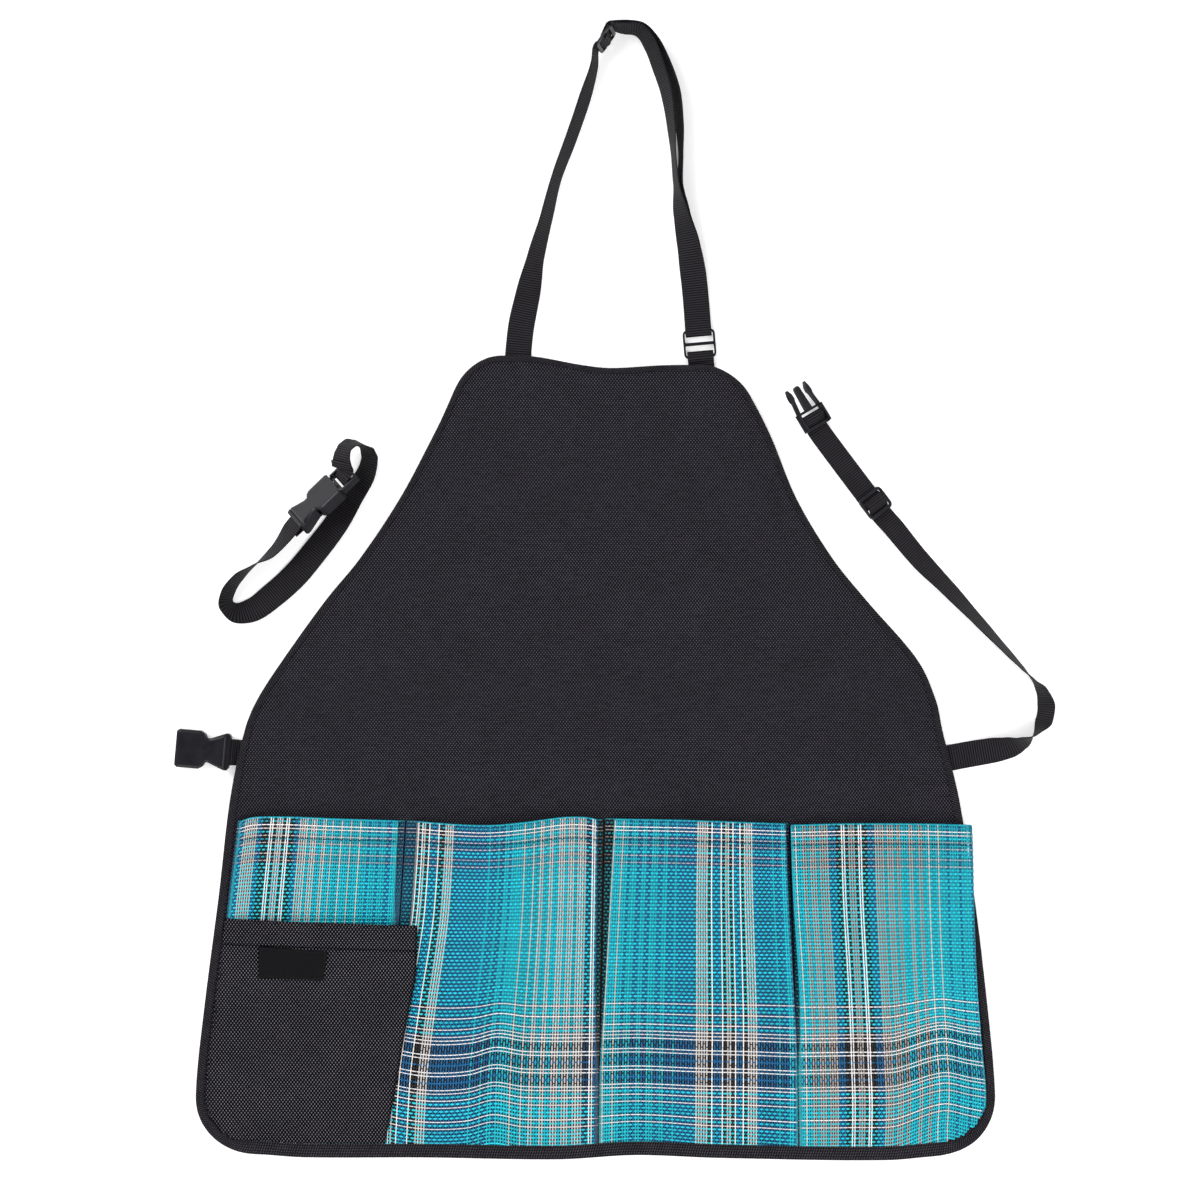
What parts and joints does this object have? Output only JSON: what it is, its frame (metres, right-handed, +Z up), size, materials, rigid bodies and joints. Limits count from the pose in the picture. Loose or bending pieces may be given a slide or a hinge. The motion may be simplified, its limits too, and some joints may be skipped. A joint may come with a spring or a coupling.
{
  "type": "grooming apron",
  "caption": "Bib apron laid flat, with a pleated plaid mesh pocket strip, a black pocket, an adjustable neck loop and a waist strap with a side-release buckle.",
  "frame": {"origin": "on the underside of the panel, on the surface that the apron lies on, near the middle of the waist", "axes": "+X to the viewer's right across the apron, +Y from the hem to the neck loop, +Z up out of the front"},
  "size_m": [0.8419, 1.0874, 0.0361],
  "materials": {
    "cloth": "coarse woven polyester, matt",
    "webbing": "ribbed webbing, matt",
    "mesh": "open plaid vinyl mesh, slight sheen",
    "plastic": "moulded, fine satin"
  },
  "bodies": {
    "root": {"apron_panel": "cloth", "edge_binding": "cloth", "mesh_pocket_1": "mesh", "mesh_pocket_2": "mesh", "mesh_pocket_3": "mesh", "mesh_pocket_4": "mesh", "black_pocket": "cloth", "label_patch": "cloth", "neck_strap": "webbing", "neck_slider": "plastic", "neck_link": "plastic", "neck_tab": "webbing", "waist_tab": "webbing", "waist_buckle_female": "plastic", "waist_strap": "webbing", "waist_slider": "plastic", "waist_buckle_male": "plastic", "extender_strap": "webbing", "extender_buckle_female": "plastic", "extender_buckle_male": "plastic"}
  },
  "joints": []
}
